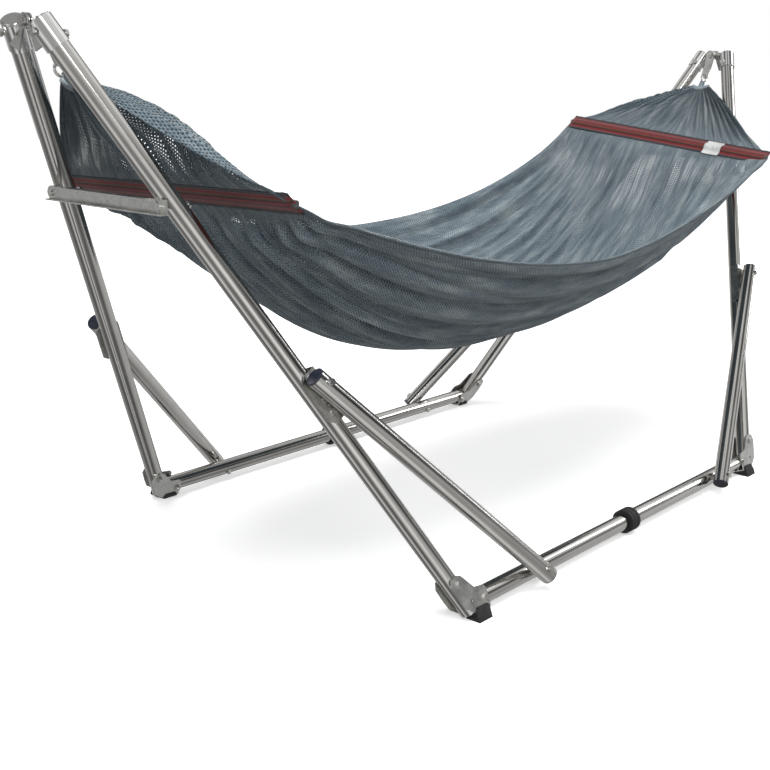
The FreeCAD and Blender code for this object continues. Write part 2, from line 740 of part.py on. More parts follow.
def bed_section(x):
    """One cross-section of the bed: a hanging curve, thick enough to be a solid."""
    share = abs(x) / BED_HALF
    half_width = BED_END_HALF_WIDTH + BED_EXTRA_WIDTH * (1 - share ** 2)
    s = 1 if x > 0 else -1
    lift = BAND_LIFT[s] * share ** TWIST_POWER
    tilt = math.tan(math.radians(BAND_ROLL[s])) * share ** TWIST_POWER
    middle_z = BED_LOW_Z + (BED_END_Z - BED_LOW_Z) * share ** BED_SAG_POWER
    thick = dim("fabric_thick")

    def height(t):
        power = FRONT_EDGE_POWER if x > 0 and t < 0 else 2
        edge_z = EDGE_LOW_Z + (BED_END_Z - EDGE_LOW_Z) * share ** power
        return middle_z + (edge_z - middle_z) * t ** 2 + lift + tilt * half_width * t

    def curve(raised):
        points = [
            V(x, half_width * t, height(t) + raised) for t in (-1, -0.6, -0.3, 0, 0.3, 0.6, 1)
        ]
        line = Part.BSplineCurve()
        line.interpolate(points)
        return line.toShape()

    below, above = curve(-thick / 2), curve(thick / 2)
    ends = [
        Part.makeLine(below.valueAt(below.LastParameter), above.valueAt(above.LastParameter)),
        Part.makeLine(above.valueAt(above.FirstParameter), below.valueAt(below.FirstParameter)),
    ]
    return Part.Wire([below, ends[0], above, ends[1]])


def bed_length(shares):
    """A length of the sagging bed, given as shares of the way from its middle to a band."""
    return shaped("bed", Part.makeLoft([bed_section(BED_HALF * t) for t in shares], True, False))


# ---------------------------------------------------------------- the assembly
for frame_name, frame in FRAMES.items():
    prefix = frame_name + "_"
    node(prefix + "rail_joiner", rail_joiner(), frame)
    node(prefix + "rail_collar", rail_collar(), frame)
    for s in (-1, 1):
        end = end_of(frame_name, s)
        node(prefix + "rail_" + end, rail_half(s), frame)
        node(prefix + "leg_" + end, leg(s), frame)
        node(prefix + "strut_" + end, strut(s), frame)
        node(prefix + "foot_bracket_" + end, foot_bracket(s), frame)
        node(prefix + "foot_pad_" + end, foot_pad(s, frame))
        node(prefix + "strut_clip_" + end, strut_clip(s), frame)
        node(prefix + "lock_pin_" + end, lock_pin(s), frame)
        node(prefix + "hub_bracket_" + end, hub_bracket(s, frame_name), frame)
    both = (-1, 1)
    node(prefix + "leg_caps", group("caps", [c for s in both for c in leg_caps(s)]), frame)
    node(prefix + "strut_caps", group("caps", [c for s in both for c in strut_caps(s)]), frame)
    bolts = []
    for s in both:
        bolts += foot_bolts(s) + clip_rivets(s) + [strut_pivot(s), hub_bolt(s), stay_stud(s)]
    node(prefix + "frame_bolts", group("bolts", bolts), frame)

hinge_line = Place(V(0, 0, HINGE_Z), Rot())
for end, s in SIDES.items():
    node("hinge_bolt_" + end, hinge_bolt(s), hinge_line)
    node("stay_" + end, stay(end))
    node("hanger_" + end, hanger(s))
    node("gather_loop_" + end, gather(s))
    node("end_panel_" + end, end_panel(s))
    node("band_" + end, band(s))
node("hanging_rings", group("rings", [ring(s) for s in (-1, 1)]))
node("spreader_bars", group("bars", [spreader_bar(s) for s in (-1, 1)]))
node("bed_left", bed_length((-1, -0.9, -0.78, -0.65, -0.5, -0.35)))
node("bed_middle", bed_length((-0.35, -0.2, 0, 0.2, 0.35)))
node("bed_right", bed_length((0.35, 0.5, 0.65, 0.78, 0.9, 1)))

doc.recompute()
broken = [o.Name for o in doc.Objects if "Invalid" in o.State or "Error" in o.State]
broken += [p.Label for p in nodes if p.Shape.isNull() or not p.Shape.isValid() or not p.Shape.Solids]
if broken:
    raise RuntimeError("failed objects: " + ", ".join(broken))

os.makedirs("parts", exist_ok=True)
for piece in nodes:
    piece.Shape.exportStep(os.path.join("parts", piece.Label + ".step"))
print(len(nodes), "nodes; frames lean", round(LEAN, 3), "degrees; stay pivot", stay_pin("rear", -1))
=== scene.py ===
import json
import math

import bpy
import numpy as np
from mathutils import Matrix, Vector


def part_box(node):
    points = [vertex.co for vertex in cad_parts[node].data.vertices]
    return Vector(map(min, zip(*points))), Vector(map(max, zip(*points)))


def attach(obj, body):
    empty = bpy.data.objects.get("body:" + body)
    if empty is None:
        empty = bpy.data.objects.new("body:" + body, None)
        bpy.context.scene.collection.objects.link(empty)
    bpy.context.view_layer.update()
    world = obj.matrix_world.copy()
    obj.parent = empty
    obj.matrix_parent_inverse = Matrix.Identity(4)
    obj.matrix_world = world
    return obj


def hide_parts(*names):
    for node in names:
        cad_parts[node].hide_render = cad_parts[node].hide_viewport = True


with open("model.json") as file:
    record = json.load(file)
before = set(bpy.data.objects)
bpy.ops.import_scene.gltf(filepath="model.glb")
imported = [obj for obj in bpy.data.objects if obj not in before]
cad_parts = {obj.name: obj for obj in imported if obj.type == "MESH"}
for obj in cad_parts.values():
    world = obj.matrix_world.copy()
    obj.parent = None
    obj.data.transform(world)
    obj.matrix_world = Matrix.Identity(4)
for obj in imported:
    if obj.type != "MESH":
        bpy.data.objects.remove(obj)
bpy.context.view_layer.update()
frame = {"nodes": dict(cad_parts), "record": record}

# A hammock on a folding tube stand, in metres.  The stand is the CAD model with finer materials.
# The cloth, its hem cords, the webbing bands with their stitching, the ring loops with their
# bindings and the blank tag are made here, around the CAD frame.

# ---------------------------------------------------------------- camera
CAMERA_PLACE = Vector((-2.31836, -1.75575, 1.03866))
CAMERA_FORWARD = Vector((0.7254, 0.6381, -0.2580))
CAMERA_UP = Vector((0.1821, 0.1835, 0.9660))
CAMERA_LENS = 54.54             # in millimetres, on Blender's 36 mm sensor
CAMERA_REACH = 60


def make_camera():
    camera = bpy.data.objects.new("camera", bpy.data.cameras.new("camera"))
    camera.data.lens = CAMERA_LENS
    camera.data.clip_end = CAMERA_REACH
    back = -CAMERA_FORWARD.normalized()
    right = CAMERA_UP.cross(back).normalized()
    up = back.cross(right)
    turn = Matrix((right, up, back)).transposed().to_4x4()
    camera.matrix_world = Matrix.Translation(CAMERA_PLACE) @ turn
    bpy.context.scene.collection.objects.link(camera)
    bpy.context.scene.camera = camera


make_camera()


# ---------------------------------------------------------------- node helpers
class Graph:
    """A short way to build one material's or world's nodes."""

    def __init__(self, owner):
        owner.use_nodes = True
        self.tree = owner.node_tree
        self.tree.nodes.clear()

    def add(self, kind, **settings):
        node = self.tree.nodes.new(kind)
        for name, value in settings.items():
            if name.startswith("in_"):
                key = name[3:]
                node.inputs[int(key) if key.isdigit() else key.replace("_", " ")].default_value = value
            else:
                setattr(node, name, value)
        return node

    def link(self, source, target):
        self.tree.links.new(source, target)

    def math(self, operation, a, b=None):
        node = self.add("ShaderNodeMath", operation=operation)
        for socket, value in zip(node.inputs, (a, b)):
            if value is None:
                continue
            if isinstance(value, (int, float)):
                socket.default_value = value
            else:
                self.link(value, socket)
        return node.outputs[0]

    def ramp(self, source, stops, kind="LINEAR"):
        node = self.add("ShaderNodeValToRGB")
        node.color_ramp.interpolation = kind
        elements = node.color_ramp.elements
        while len(elements) < len(stops):
            elements.new(0.5)
        for element, (place, colour) in zip(elements, stops):
            element.position = place
            grey = isinstance(colour, (int, float))
            element.color = (colour, colour, colour, 1) if grey else (*colour, 1)
        self.link(source, node.inputs[0])
        return node.outputs[0]

    def noise(self, coordinates, scale, detail, rough, stretch=None):
        if stretch:
            mapping = self.add("ShaderNodeMapping")
            mapping.inputs["Scale"].default_value = stretch
            self.link(coordinates, mapping.inputs[0])
            coordinates = mapping.outputs[0]
        node = self.add("ShaderNodeTexNoise", in_Scale=scale, in_Detail=detail, in_Roughness=rough)
        self.link(coordinates, node.inputs["Vector"])
        return node.outputs["Fac"]

    def mix(self, share, a, b, blend="MIX"):
        node = self.add("ShaderNodeMix", data_type="RGBA", blend_type=blend)
        for socket, value in ((node.inputs[0], share), (node.inputs[6], a), (node.inputs[7], b)):
            if isinstance(value, (int, float)):
                socket.default_value = value
            elif isinstance(value, tuple):
                socket.default_value = (*value, 1)
            else:
                self.link(value, socket)
        return node.outputs[2]

    def bump(self, height, strength, distance, under=None):
        node = self.add("ShaderNodeBump", in_Strength=strength, in_Distance=distance)
        self.link(height, node.inputs["Height"])
        if under is not None:
            self.link(under, node.inputs["Normal"])
        return node.outputs[0]


def new_material(name):
    material = bpy.data.materials.new(name)
    graph = Graph(material)
    shader = graph.add("ShaderNodeBsdfPrincipled")
    out = graph.add("ShaderNodeOutputMaterial")
    graph.link(shader.outputs[0], out.inputs[0])
    return material, graph, shader


# ---------------------------------------------------------------- hard materials
def metal(name, colour, rough, smudge, mark_scale, mark_depth):
    """Bare metal: fine smudges in its roughness and a faint handling texture in its relief."""
    material, g, shader = new_material(name)
    place = g.add("ShaderNodeTexCoord").outputs["Object"]
    shader.inputs["Metallic"].default_value = 1.0
    cloudy = g.noise(place, 9.0, 4.0, 0.6)
    fine = g.noise(place, mark_scale, 3.0, 0.55)
    tint = g.ramp(cloudy, [(0.30, tuple(0.86 * c for c in colour)), (0.70, colour)])
    specks = g.ramp(fine, [(0.25, 0.80), (0.42, 1.0)])
    g.link(g.mix(0.55, tint, specks, "MULTIPLY"), shader.inputs["Base Color"])
    g.link(g.ramp(cloudy, [(0.25, rough), (0.75, rough + smudge)]), shader.inputs["Roughness"])
    g.link(g.bump(fine, 0.25, mark_depth), shader.inputs["Normal"])
    return material


def galvanised(name, colour):
    """Pressed sheet: a spangle of zinc crystals, darker and dull in places."""
    material, g, shader = new_material(name)
    place = g.add("ShaderNodeTexCoord").outputs["Object"]
    shader.inputs["Metallic"].default_value = 1.0
    spangle = g.add("ShaderNodeTexVoronoi", in_Scale=260.0)
    g.link(place, spangle.inputs["Vector"])
    crystals = g.ramp(spangle.outputs["Color"], [(0.2, 0.80), (0.8, 1.0)])
    cloudy = g.noise(place, 30.0, 4.0, 0.6)
    tint = g.ramp(cloudy, [(0.30, tuple(0.72 * c for c in colour)), (0.65, colour)])
    g.link(g.mix(0.8, tint, crystals, "MULTIPLY"), shader.inputs["Base Color"])
    g.link(g.ramp(cloudy, [(0.3, 0.24), (0.7, 0.42)]), shader.inputs["Roughness"])
    grain = g.noise(place, 700.0, 2.0, 0.5)
    g.link(g.bump(grain, 0.2, 0.0003), shader.inputs["Normal"])
    return material


def moulded(name, colour, rough, dust):
    """Moulded rubber or plastic with a fine grain and a little pale dust."""
    material, g, shader = new_material(name)
    place = g.add("ShaderNodeTexCoord").outputs["Object"]
    cloudy = g.noise(place, 25.0, 4.0, 0.65)
    dusty = tuple(c + dust for c in colour)
    g.link(g.ramp(cloudy, [(0.42, colour), (0.72, dusty)]), shader.inputs["Base Color"])
    g.link(g.ramp(cloudy, [(0.3, rough), (0.7, rough + 0.15)]), shader.inputs["Roughness"])
    grain = g.noise(place, 1100.0, 2.0, 0.5)
    g.link(g.bump(grain, 0.3, 0.0004), shader.inputs["Normal"])
    return material


# ---------------------------------------------------------------- cloth materials
KNIT_PITCH = 0.0056             # from one mesh hole to the next
CLOTH_RUN = 2.56                # the stretched ends are placed by shares of this; V runs to 2.70
KNIT_LONG_SHARE = 0.62          # the holes are longer along the cloth than across it
MOST_OPEN = 0.25                # how far the holes of stretched cloth open, as a share of the knit
# SLATE is the cloth's own colour. The dark and pale slates paint shade and highlight streaks along the
# cloth. SLATE_PALE is also the loop webbing's edge stripe.
SLATE_PAINTED_SHADE = (0.120, 0.180, 0.225)
SLATE = (0.215, 0.285, 0.330)
SLATE_PALE = (0.480, 0.560, 0.580)


def knit_height(g, across, along, pitch):
    """Staggered mesh holes: 1 on the yarn, falling to 0 in a hole."""
    turn = 2 * math.pi / pitch
    a = g.math("SINE", g.math("MULTIPLY", across, turn))
    b = g.math("SINE", g.math("MULTIPLY", along, turn * KNIT_LONG_SHARE))
    return g.math("MULTIPLY", g.math("ADD", g.math("MULTIPLY", a, b), 1.0), 0.5)


def mesh_cloth():
    """Knitted mesh: rows of small holes that open where the cloth is stretched, with painted highlight and
    shade streaks along it and painted shade in its holes.
    """
    material, g, shader = new_material("mesh_cloth")
    coordinates = g.add("ShaderNodeTexCoord")
    uv = g.add("ShaderNodeSeparateXYZ")
    g.link(coordinates.outputs["UV"], uv.inputs[0])
    knit = knit_height(g, uv.outputs["X"], uv.outputs["Y"], KNIT_PITCH)
    opened = g.noise(coordinates.outputs["UV"], 4.0, 3.0, 0.55, stretch=(1.6, 1.2, 1.0))
    # Painted highlights on the crinkles and painted shade in the fold valleys: pale and dark streaks along
    # the cloth's length, put into its colour over its fine heather.
    painted_crinkle_light = g.noise(coordinates.outputs["UV"], 4.0, 5.0, 0.65, stretch=(13.0, 1.5, 1.0))
    body = g.ramp(painted_crinkle_light, [(0.32, SLATE_PAINTED_SHADE), (0.50, SLATE), (0.72, SLATE_PALE)])
    heather = g.noise(coordinates.outputs["UV"], 420.0, 2.0, 0.6)
    body = g.mix(0.8, body, g.ramp(heather, [(0.32, 0.35), (0.66, 1.0)]), "MULTIPLY")
    # Painted shade in the holes: the colour darkens to a tenth where the knit opens.
    yarn = g.ramp(knit, [(0.12, 0.10), (0.55, 1.0)])
    g.link(g.mix(0.8, body, yarn, "MULTIPLY"), shader.inputs["Base Color"])
    along = g.math("DIVIDE", uv.outputs["Y"], CLOTH_RUN)
    stretched = g.ramp(along, [(0.0, 1.0), (0.19, 1.0), (0.27, 0.2), (0.80, 0.2), (0.885, 1.0)])
    patches = g.ramp(opened, [(0.36, 0.0), (0.62, 1.0)])
    edge = g.math("MULTIPLY", patches, g.math("MULTIPLY", stretched, MOST_OPEN))
    in_hole = g.math("LESS_THAN", knit, edge)
    g.link(g.math("SUBTRACT", 1.0, in_hole), shader.inputs["Alpha"])
    shader.inputs["Roughness"].default_value = 0.88
    shader.inputs["Sheen Weight"].default_value = 0.25
    shader.inputs["Sheen Roughness"].default_value = 0.5
    fibre = g.noise(coordinates.outputs["UV"], 900.0, 2.0, 0.6)
    crinkle = g.noise(coordinates.outputs["UV"], 7.0, 4.0, 0.6, stretch=(9.0, 1.6, 1.0))
    fine = g.bump(fibre, 0.4, 0.0008, g.bump(crinkle, 1.0, 0.016))
    g.link(g.bump(knit, 0.9, 0.0022, fine), shader.inputs["Normal"])
    return material


WARP_CORDS = 24                 # lengthwise cords across one webbing


def woven(name, stripes, rib_pitch):
    """Webbing: lengthwise stripes across U from 0 to 1, and a woven rib along V, in metres."""
    material, g, shader = new_material(name)
    coordinates = g.add("ShaderNodeTexCoord")
    uv = g.add("ShaderNodeSeparateXYZ")
    g.link(coordinates.outputs["UV"], uv.inputs[0])
    colour = g.ramp(uv.outputs["X"], stripes, "CONSTANT")
    turn = 2 * math.pi / rib_pitch
    rib = g.math("SINE", g.math("MULTIPLY", uv.outputs["Y"], turn))
    warp = g.math("SINE", g.math("MULTIPLY", uv.outputs["X"], 2 * math.pi * WARP_CORDS))
    weave = g.math("MULTIPLY", g.math("ADD", g.math("MULTIPLY", rib, warp), 1.0), 0.5)
    faded = g.noise(coordinates.outputs["Object"], 60.0, 4.0, 0.65)
    colour = g.mix(0.55, colour, g.ramp(faded, [(0.3, 0.55), (0.7, 1.0)]), "MULTIPLY")
    colour = g.mix(0.6, colour, g.ramp(weave, [(0.05, 0.45), (0.6, 1.0)]), "MULTIPLY")
    g.link(colour, shader.inputs["Base Color"])
    shader.inputs["Roughness"].default_value = 0.8
    shader.inputs["Sheen Weight"].default_value = 0.2
    g.link(g.bump(weave, 0.6, 0.0008), shader.inputs["Normal"])
    return material


RED = (0.200, 0.016, 0.018)
DARK_RED = (0.060, 0.009, 0.012)
OLIVE = (0.110, 0.078, 0.040)
INK = (0.010, 0.012, 0.018)
BAND_STRIPES = [
    (0.0, INK), (0.09, DARK_RED), (0.14, RED), (0.27, OLIVE), (0.31, DARK_RED), (0.37, RED),
    (0.46, INK), (0.51, RED), (0.62, OLIVE), (0.66, DARK_RED), (0.72, RED), (0.86, DARK_RED), (0.90, INK),
]

LOOP_STRIPES = [(0.0, SLATE_PALE), (0.12, (0.26, 0.32, 0.36)), (0.88, SLATE_PALE)]
STITCH_STRIPES = [(0.0, (0.20, 0.24, 0.26)), (0.5, (0.26, 0.30, 0.31))]
TAG_STRIPES = [(0.0, (0.62, 0.63, 0.62)), (0.5, (0.70, 0.71, 0.70))]

MATERIALS = {
    "chrome_tube": metal("polished_tube", (0.60, 0.59, 0.565), 0.09, 0.09, 420.0, 0.00012),
    "chrome": metal("chrome", (0.74, 0.74, 0.73), 0.06, 0.07, 380.0, 0.0001),
    "galvanised_sheet": galvanised("galvanised", (0.80, 0.80, 0.77)),
    "zinc_bolts": metal("zinc_bolt", (0.70, 0.69, 0.66), 0.20, 0.14, 520.0, 0.0002),
    "knob_steel": metal("knob_steel", (0.70, 0.71, 0.71), 0.12, 0.10, 420.0, 0.0001),
    "black_rubber": moulded("black_rubber", (0.012, 0.012, 0.013), 0.62, 0.02),
    "black_plastic": moulded("black_plastic", (0.014, 0.017, 0.034), 0.22, 0.012),
    "bar_fibre": moulded("bar_fibre", (0.05, 0.05, 0.05), 0.45, 0.03),
    "webbing": woven("band_webbing", BAND_STRIPES, 0.0030),
    "loop_webbing": woven("loop_webbing", LOOP_STRIPES, 0.0024),
    "mesh_fabric": mesh_cloth(),
}
STITCH = woven("stitch_thread", STITCH_STRIPES, 0.0012)
TAG = woven("tag_cloth", TAG_STRIPES, 0.0012)

for part in frame["record"]["subparts"]:
    cad_object = frame["nodes"][part["node"]]
    cad_object.data.materials.clear()
    cad_object.data.materials.append(MATERIALS[part["material_slot"]])


# ---------------------------------------------------------------- mesh helpers
def finish_piece(name, vertices, faces, uvs, material):
    """Makes a smooth mesh object with one UV per vertex, on the hammock's body."""
    mesh = bpy.data.meshes.new(name)
    mesh.from_pydata([tuple(v) for v in vertices], [], faces)
    mesh.validate()
    layer = mesh.uv_layers.new(name="UVMap")
    corners = np.zeros(len(mesh.loops), np.int32)
    mesh.loops.foreach_get("vertex_index", corners)
    layer.data.foreach_set("uv", np.asarray(uvs, np.float32)[corners].ravel())
    mesh.polygons.foreach_set("use_smooth", [True] * len(mesh.polygons))
    mesh.materials.append(material)
    piece = bpy.data.objects.new(name, mesh)
    bpy.context.scene.collection.objects.link(piece)
    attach(piece, "hammock")
    return piece


def grid_faces(rows, columns, closed=False):
    """Quads over a grid of points stored row by row; closed joins each row's ends."""
    faces = []
    for i in range(rows - 1):
        for j in range(columns if closed else columns - 1):
            k = (j + 1) % columns
            faces.append((i * columns + j, i * columns + k, (i + 1) * columns + k, (i + 1) * columns + j))
    return faces


def tube_faces(rows, columns):
    """The faces of a closed tube, with a cap at each end."""
    first_cap = tuple(range(columns))[::-1]
    last_cap = tuple((rows - 1) * columns + j for j in range(columns))
    return grid_faces(rows, columns, closed=True) + [first_cap, last_cap]


def sweep(name, centres, sides, ups, section, material):
    """A closed section, as (side, up) pairs, carried along centres."""
    count = len(section)
    points, uvs, run = [], [], 0.0
    for i, (centre, side, up) in enumerate(zip(centres, sides, ups)):
        if i:
            run += float(np.linalg.norm(np.subtract(centre, centres[i - 1])))
        for j, (a, b) in enumerate(section):
            points.append(np.asarray(centre) + np.asarray(side) * a + np.asarray(up) * b)
            uvs.append((abs(2 * j / count - 1), run))
    return finish_piece(name, points, tube_faces(len(centres), count), uvs, material)


def smooth_step(x):
    x = np.clip(x, 0.0, 1.0)
    return x * x * (3 - 2 * x)


# ---------------------------------------------------------------- the cloth's shape
def middle_of(node):
    low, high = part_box(node)
    return (low + high) / 2


bed_low, bed_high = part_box("bed_middle")
CLOTH_HALF_THICK = 0.004                       # half of the CAD's stand-in for the cloth
CLOTH_THICK = 0.0011
CLOTH_CUT = (0.98, 2.46)                       # the cloth's flat width and length

# The hammock hangs a little twisted.  Each band has its height and its slope, up towards the rear.
# The twist dies away from the bands to the bed's middle by a high power of the distance.
BAND_LIFT = {1: 0.028, -1: -0.017}
BAND_ROLL = {1: math.radians(6.7), -1: math.radians(-1.0)}
TWIST_POWER = 5

BAR = middle_of("band_right") - Vector((0, 0, BAND_LIFT[1]))    # the bar's middle without the twist
BAND_HALF = 0.332                              # half of a band's length
SEAM_REACH = 0.031                             # how far flat, sewn cloth reaches from the bar's middle
SEAM_EASE = 0.11                               # over which the bed turns from the band's plane to its sag
SEAM_END = SEAM_REACH + 0.105                  # where the bed hangs free

BED_LIFT = 0.014                               # the drawn bed sags a little less than the CAD's
EDGE_ABOVE_BED = 0.235                         # in the middle, where the bed is deepest
BED_LOW_Z = bed_low.z + CLOTH_HALF_THICK + BED_LIFT
EDGE_LOW_Z = BED_LOW_Z + EDGE_ABOVE_BED
SAG_POWER = 2.7
EDGE_POWER = 2.0
FRONT_EDGE_POWER = 1.5                         # the front edge rises sooner on the right
HALF_WIDTH_MIDDLE = bed_high.y
HALF_WIDTH_END = 0.330

APEX = Vector((1.144, 0, 1.018))               # where an end panel is gathered below its ring
APEX_HALF_WIDTH = 0.0245
APEX_ARCH = -0.009                             # the gathered top is bowed down, in a U round the ring
PANEL_LONG = (APEX - BAR).length

BED_ROWS = 131
BED_ROW_CROWDING = 0.86                        # up to 1: the rows stand closer together near the bars
PANEL_ROWS = 27
COLUMNS = 249
EDGE_STEP = 3                                  # columns over which the edge's own direction is taken

LIP_COLUMNS = 9
LIP_TURN_COLUMNS = 5                           # those that go round the fold; the rest are its flap
LIP_RADIUS = 0.0055
LIP_FLAP = 0.024                               # how far the folded edge hangs back down
LIP_SWELL = 0.0012                             # how far the flap bulges
LIP_SMALL = 0.30                               # the lip's share of its full size at the bars
LIP_GROWTH = 0.30                              # the length of bed over which it reaches its full size


def bar_z(side):
    return BAR.z + BAND_LIFT[side]


def bed_height(x, v):
    """The height of the bed's middle surface at a distance from its middle, across its width."""
    side = 1 if x > 0 else -1
    share = abs(x) / BAR.x
    half_width = HALF_WIDTH_END + (HALF_WIDTH_MIDDLE - HALF_WIDTH_END) * (1 - share ** 2)
    power = np.where((v < 0) & (x > 0), FRONT_EDGE_POWER, EDGE_POWER)
    edge = EDGE_LOW_Z + (BAR.z - EDGE_LOW_Z) * share ** power
    middle = BED_LOW_Z + (BAR.z - BED_LOW_Z) * share ** SAG_POWER
    twist = BAND_LIFT[side] + math.tan(BAND_ROLL[side]) * half_width * v
    hanging = middle + (edge - middle) * v ** 2 + twist * share ** TWIST_POWER
    from_bar = BAR.x - abs(x)
    steep = (APEX.z - bar_z(side)) / (APEX.x - BAR.x)
    sewn = bar_z(side) + math.tan(BAND_ROLL[side]) * half_width * v - from_bar * steep
    flat = smooth_step((SEAM_END - from_bar) / SEAM_EASE) * (1 - 0.8 * np.abs(v) ** 4)
    return half_width, hanging + (sewn - hanging) * flat


def stations():
    """The cloth's rows as (x, p).  On the bed, x is the row's place and p is 0.

    On an end panel, x is the side, -1 or 1, and p runs to 1 from bar to apex.
    """
    turns = np.linspace(-1, 1, BED_ROWS) * math.pi / 2 * BED_ROW_CROWDING
    bed = BAR.x * np.sin(turns) / math.sin(turns[-1])
    panel = np.linspace(0, 1, PANEL_ROWS)[1:]
    return [(-1, p) for p in panel[::-1]] + [(x, 0.0) for x in bed] + [(1, p) for p in panel]


ROWS = stations()
V_FLAT = np.linspace(-1, 1, COLUMNS)           # places across the cloth, from front edge to rear edge


def wander(v, along, seed):
    """A slow, smooth drift with no repeats that show."""
    return (
        np.sin(2.1 * v + 1.7 * along + seed)
        + 0.6 * np.sin(4.3 * v - 2.9 * along + 2.3 * seed)
        + 0.35 * np.sin(9.1 * v + 4.7 * along + 3.1 * seed)
    ) / 1.95


def creases(v, count, drift):
    """Folds across the cloth, between -1 and 1: round on one side and creased on the other.

    The count is for half the width, and the drift shifts them by a share of one fold.
    """
    phase = 2 * math.pi * (count * v + drift)
    return 1 - 2 * np.abs(np.sin(phase / 2)) ** 0.65


GATHER_TALL = 0.0052
GATHER_FADE = 0.13                             # the gathers fade with their distance from the bar
END_FOLD_TALL = 0.0078
END_FOLD_EXTRA = 0.0080                        # more height near the bars
END_FOLD_FADE = 0.42
LONG_FOLD_TALL = 0.0125
RIPPLE_TALL = 0.0015
FOLDS_START = 0.045                            # the folds grow over this length from the seam
CALM_EDGE = 0.08                               # the share of the half width where an edge calms them


def bed_folds(v, x):
    """Height of the folds across the bed: gathers by the bars that join into long folds."""
    side = 1.0 if x > 0 else -1.0
    from_bar = BAR.x - abs(x)
    start = smooth_step((from_bar - SEAM_REACH) / FOLDS_START)
    gathers = creases(v, 23, 0.5 * wander(v, x, 4 + side))
    fade = math.exp(-from_bar / GATHER_FADE)
    gathers *= GATHER_TALL * start * fade * (0.65 + 0.35 * wander(v, x, 9 + side))
    ends = np.zeros_like(v)
    for end in (-1.0, 1.0):
        weight = float(smooth_step((end * x + 0.55) / 1.1))
        up_or_down = np.where(wander(v, 0.5, 5 * end) > 0.1, 1.0, -0.8)
        height = up_or_down * creases(v, 8.5, 0.75 * wander(v, 0.8 * x, 2 * end))
        ends += weight * height * (0.75 + 0.45 * wander(v, 1.3 * x, 7 + end))
    ends *= start * (END_FOLD_TALL + END_FOLD_EXTRA * math.exp(-from_bar / END_FOLD_FADE))
    long_folds = LONG_FOLD_TALL * start * creases(v, 5.1, 0.50 * wander(v, 0.45 * x, 1.0))
    long_folds *= 0.8 + 0.4 * wander(v, x, 3.3)
    ripples = RIPPLE_TALL * start * np.sin(2 * math.pi * (17 * v + 1.1 * wander(v, 1.1 * x, 6.0)))
    edges = smooth_step((1 - np.abs(v)) / CALM_EDGE)
    return (gathers + ends + long_folds + ripples) * (0.25 + 0.75 * edges)


PANEL_GATHER_TALL = 0.0032
PANEL_GATHER_FADE = 0.25                       # as a share of the panel's length
PLEAT_TALL = 0.0150
PLEAT_DROP = 0.0095                            # the pleats are that much lower at the ring
VALLEY_HALF_WIDE = 0.13


def panel_folds(v, p, side):
    """Height of the folds on an end panel: pleats that radiate from the ring, on a billow.

    The left panel billows more, in two lobes with a valley between them.
    """
    start = float(smooth_step((p * PANEL_LONG - SEAM_REACH) / 0.03))
    small = creases(v, 21, 0.4 * wander(v, p, 4 + side))
    small *= PANEL_GATHER_TALL * math.exp(-p / PANEL_GATHER_FADE) * start
    height = PLEAT_TALL * smooth_step(p / 0.5) - PLEAT_DROP * smooth_step((p - 0.6) / 0.4)
    pleats = height * start * creases(v, 8.2, 0.6 * wander(v, 0.7 * p, 1.5 * side))
    pleats *= 0.85 + 0.3 * wander(v, p, 8 + side)
    near = np.clip(-v, 0, 1)
    far = np.clip(v, 0, 1)
    if side < 0:
        billow = 0.048 * np.sin(math.pi * near) ** 0.8 + 0.024 * np.sin(math.pi * far)
        valley = -0.020 * np.exp(-(v / VALLEY_HALF_WIDE) ** 2)
        calm = 1 - 0.8 * np.sin(math.pi * near) * (1 - 0.6 * p)
    else:
        billow = 0.018 * np.sin(math.pi * near) + 0.012 * np.sin(math.pi * far)
        valley = 0.0
        calm = 1.0
    rise = float(smooth_step((p * PANEL_LONG - SEAM_REACH) / 0.09))
    return small + pleats * calm + (billow + valley) * rise * math.sin(math.pi * p) ** 0.8


def cloth_row(row):
    """The cloth's middle line at one station, before its folds: an array of points."""
    x, p = row
    if p == 0.0:
        half_width, z = bed_height(x, V_FLAT)
        return np.stack([np.full(COLUMNS, x), half_width * V_FLAT, z], 1)
    side = x
    half_width = APEX_HALF_WIDTH + (HALF_WIDTH_END - APEX_HALF_WIDTH) * (1 - p) ** 0.94
    arched = APEX_ARCH * (1 - V_FLAT ** 2) * p ** 6
    rise = bar_z(side) - APEX.z
    run = BAR.x - APEX.x
    tilt = math.tan(BAND_ROLL[side]) * HALF_WIDTH_END * V_FLAT * (1 - p)
    x_at = BAR.x - run * p + arched
    z_at = bar_z(side) - rise * p + arched * rise / run + tilt
    return np.stack([x_at * side, half_width * V_FLAT, z_at], 1)


def lip_size(row):
    """How large the folded edge is at a station, as a share."""
    x, p = row
    if p > 0:
        return LIP_SMALL * (1 - 0.7 * p)
    return LIP_SMALL + (1 - LIP_SMALL) * float(smooth_step((BAR.x - abs(x)) / LIP_GROWTH))


def lip(start, outward, normal, size):
    """The cloth's edge, folded over to the outside and hanging back down."""
    outward = outward / np.linalg.norm(outward)
    outside = -(normal - outward * float(normal @ outward))
    outside = outside / np.linalg.norm(outside)
    radius, flap = LIP_RADIUS * size, LIP_FLAP * size
    points = []
    for k in range(1, LIP_COLUMNS + 1):
        turn = min(k / LIP_TURN_COLUMNS, 1.0) * math.pi
        hanging = max(k - LIP_TURN_COLUMNS, 0)
        drop = hanging / (LIP_COLUMNS - LIP_TURN_COLUMNS) * flap
        swell = LIP_SWELL * math.sin(math.pi * hanging / (LIP_COLUMNS - LIP_TURN_COLUMNS))
        points.append(
            start + outward * (radius * math.sin(turn) - drop)
            + outside * (radius * (1 - math.cos(turn)) + swell)
        )
    return np.array(points)


